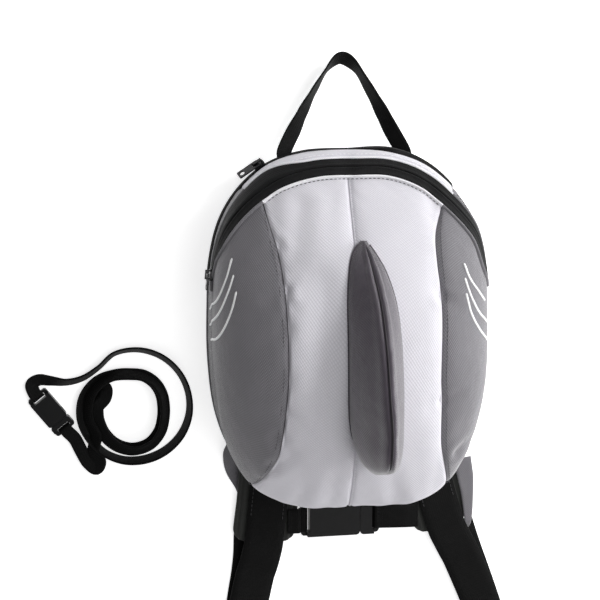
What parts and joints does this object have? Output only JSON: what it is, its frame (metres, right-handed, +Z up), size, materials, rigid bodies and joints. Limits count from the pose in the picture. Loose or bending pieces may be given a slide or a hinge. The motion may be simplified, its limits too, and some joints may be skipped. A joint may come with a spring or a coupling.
{
  "type": "toddler harness backpack",
  "caption": "Small shark-shaped toddler backpack with a stuffed dorsal fin, side gill lines, padded harness straps, chest buckle and a coiled clip-on rein.",
  "frame": {"origin": "on the floor, below the middle of the bag's and harness's box, the coiled rein left out", "axes": "+X across the bag to the picture's right, +Y from the bag's bottom to its top, +Z up from the floor, out of the bag's front"},
  "size_m": [0.3768, 0.4586, 0.1563],
  "materials": {
    "light_fabric": "light grey twill",
    "dark_fabric": "dark grey twill",
    "fin_fabric": "dark purple-grey twill with a slight sheen",
    "black_webbing": "black woven webbing and zip tape",
    "pad_fabric": "charcoal padded cloth",
    "black_plastic": "black moulded plastic",
    "black_metal": "black coated metal"
  },
  "bodies": {
    "bag": {"front_panel_left": "light_fabric", "front_panel_right": "light_fabric", "gusset_top": "light_fabric", "gusset_bottom": "light_fabric", "side_panel_left": "dark_fabric", "side_panel_right": "dark_fabric", "gusset_left": "dark_fabric", "gusset_right": "dark_fabric", "back_panel": "dark_fabric", "corner_tab_left": "dark_fabric", "corner_tab_right": "dark_fabric", "dorsal_fin": "fin_fabric", "zip_tape_front": "black_webbing", "zip_tape_rear": "black_webbing", "rear_zip": "black_webbing", "handle": "black_webbing", "shoulder_webbing_left": "black_webbing", "shoulder_webbing_right": "black_webbing", "chest_strap_left": "black_webbing", "chest_strap_right": "black_webbing", "rein_start": "black_webbing", "rein_end": "black_webbing", "rein_coil": "black_webbing", "shoulder_pad_left": "pad_fabric", "shoulder_pad_right": "pad_fabric", "chest_buckle_female": "black_plastic", "chest_buckle_male": "black_plastic", "rein_buckle_female": "black_plastic", "rein_buckle_male": "black_plastic", "main_slider": "black_metal", "rear_slider": "black_metal"},
    "main_pull": {"main_pull": "black_metal"},
    "rear_pull": {"rear_pull": "black_metal"}
  },
  "joints": [
    {"name": "main_pull_hinge", "type": "hinge", "parent": "bag", "child": "main_pull", "pos_m": [-0.1206, 0.06943, 0.05242], "axis": [0.0002, -0.0522, -0.9986], "range_deg": [0, 120]},
    {"name": "rear_pull_hinge", "type": "hinge", "parent": "bag", "child": "rear_pull", "pos_m": [-0.07872, 0.14727, 0.01987], "axis": [-0.3046, 0.4393, -0.8452], "range_deg": [0, 120]}
  ]
}
